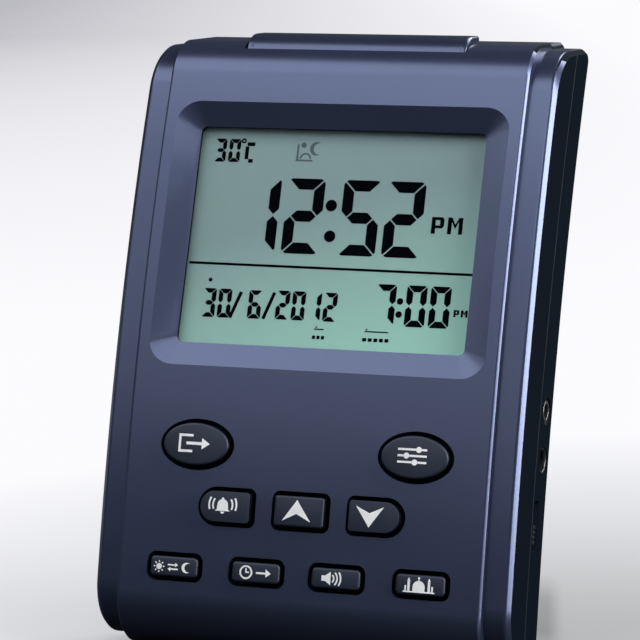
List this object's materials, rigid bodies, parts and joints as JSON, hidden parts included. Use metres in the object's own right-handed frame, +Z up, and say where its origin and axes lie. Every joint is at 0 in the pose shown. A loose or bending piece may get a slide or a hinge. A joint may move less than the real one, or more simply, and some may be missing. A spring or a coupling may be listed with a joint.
{
  "type": "desk azan clock",
  "caption": "Desk azan clock: bowed leaning case with a sloped bezel round a liquid crystal display, round-ended press keys, a light bar on top and a flip-out foot.",
  "frame": {"origin": "on the table, under the middle of the clock's bounding box", "axes": "+X across the face to the viewer's right, +Y to the back, +Z up; the face looks along -Y and leans back"},
  "size_m": [0.105, 0.0684, 0.1482],
  "materials": {
    "case_plastic": "satin moulded plastic, slightly metallic dark blue",
    "key_plastic": "satin moulded plastic, a little darker than the case",
    "bar_plastic": "satin moulded plastic",
    "window": "clear polished acrylic",
    "lcd": "grey-green liquid crystal panel",
    "diffuser": "milky light guide",
    "holder_plastic": "plain white moulded plastic",
    "circuit_board": "green circuit board",
    "lamp": "small white lamps",
    "ribbon": "flat ribbon lead",
    "keypad_rubber": "grey silicone",
    "foot_rubber": "black rubber",
    "socket_plastic": "black moulded plastic",
    "cell_jacket": "plain grey cell jacket",
    "contact_steel": "plated spring steel",
    "speaker_frame": "pressed steel basket",
    "key_print": "white printed signs on the keys",
    "lcd_ink": "dark segments of the liquid crystal panel",
    "speaker_paper": "black paper"
  },
  "bodies": {
    "case": {"front_housing": "case_plastic", "rear_housing": "case_plastic", "display_window": "window", "lcd_glass": "lcd", "backlight_diffuser": "diffuser", "elastomer_strips": "keypad_rubber", "lcd_holder": "holder_plastic", "main_board": "circuit_board", "backlight_leds": "lamp", "keypad_board": "circuit_board", "ribbon_lead": "ribbon", "rubber_keypad": "keypad_rubber", "light_bar_board": "circuit_board", "light_bar_switches": "socket_plastic", "jack_board": "circuit_board", "earphone_socket": "socket_plastic", "supply_socket": "socket_plastic", "slide_switch": "socket_plastic", "batteries": "cell_jacket", "battery_contacts": "contact_steel", "speaker": "speaker_frame", "speaker_cone": "speaker_paper", "stand_pin": "contact_steel", "base_feet": "foot_rubber"},
    "light_bar": {"light_bar": "bar_plastic"},
    "slide_knob": {"slide_knob": "socket_plastic"},
    "battery_door": {"battery_door": "case_plastic"},
    "foot": {"stand": "case_plastic", "stand_pad": "foot_rubber"},
    "key_exit": {"key_exit": "key_plastic"},
    "key_set": {"key_set": "key_plastic"},
    "key_alarm": {"key_alarm": "key_plastic"},
    "key_up": {"key_up": "key_plastic"},
    "key_down": {"key_down": "key_plastic"},
    "key_calendar": {"key_calendar": "key_plastic"},
    "key_delay": {"key_delay": "key_plastic"},
    "key_sound": {"key_sound": "key_plastic"},
    "key_azan": {"key_azan": "key_plastic"}
  },
  "joints": [
    {"name": "key_exit_press", "type": "slide", "parent": "case", "child": "key_exit", "axis": [0, 0.971, -0.2389], "range_m": [0, 0.0007], "stiffness_N_per_m": 500, "springref_m": -0.0004},
    {"name": "key_set_press", "type": "slide", "parent": "case", "child": "key_set", "axis": [0, 0.971, -0.2389], "range_m": [0, 0.0007], "stiffness_N_per_m": 500, "springref_m": -0.0004},
    {"name": "key_alarm_press", "type": "slide", "parent": "case", "child": "key_alarm", "axis": [0, 0.9766, -0.2151], "range_m": [0, 0.0007], "stiffness_N_per_m": 500, "springref_m": -0.0004},
    {"name": "key_up_press", "type": "slide", "parent": "case", "child": "key_up", "axis": [0, 0.9766, -0.2151], "range_m": [0, 0.0007], "stiffness_N_per_m": 500, "springref_m": -0.0004},
    {"name": "key_down_press", "type": "slide", "parent": "case", "child": "key_down", "axis": [0, 0.9766, -0.2151], "range_m": [0, 0.0007], "stiffness_N_per_m": 500, "springref_m": -0.0004},
    {"name": "key_calendar_press", "type": "slide", "parent": "case", "child": "key_calendar", "axis": [0, 0.9818, -0.1902], "range_m": [0, 0.0007], "stiffness_N_per_m": 500, "springref_m": -0.0004},
    {"name": "key_delay_press", "type": "slide", "parent": "case", "child": "key_delay", "axis": [0, 0.9818, -0.1902], "range_m": [0, 0.0007], "stiffness_N_per_m": 500, "springref_m": -0.0004},
    {"name": "key_sound_press", "type": "slide", "parent": "case", "child": "key_sound", "axis": [0, 0.9818, -0.1902], "range_m": [0, 0.0007], "stiffness_N_per_m": 500, "springref_m": -0.0004},
    {"name": "key_azan_press", "type": "slide", "parent": "case", "child": "key_azan", "axis": [0, 0.9818, -0.1902], "range_m": [0, 0.0007], "stiffness_N_per_m": 500, "springref_m": -0.0004},
    {"name": "light_bar_press", "type": "slide", "parent": "case", "child": "light_bar", "axis": [0, 0, -1], "range_m": [0, 0.001], "stiffness_N_per_m": 500, "springref_m": -0.0005},
    {"name": "slide_knob_slide", "type": "slide", "parent": "case", "child": "slide_knob", "axis": [0, 0.2389, 0.971], "range_m": [0, 0.004]},
    {"name": "battery_door_pull", "type": "slide", "parent": "case", "child": "battery_door", "axis": [0, 0.9555, -0.295], "range_m": [0, 0.02]},
    {"name": "foot_hinge", "type": "hinge", "parent": "case", "child": "foot", "pos_m": [0, -0.00872, 0.01312], "axis": [1, 0, 0], "range_deg": [0, 95.8]}
  ]
}
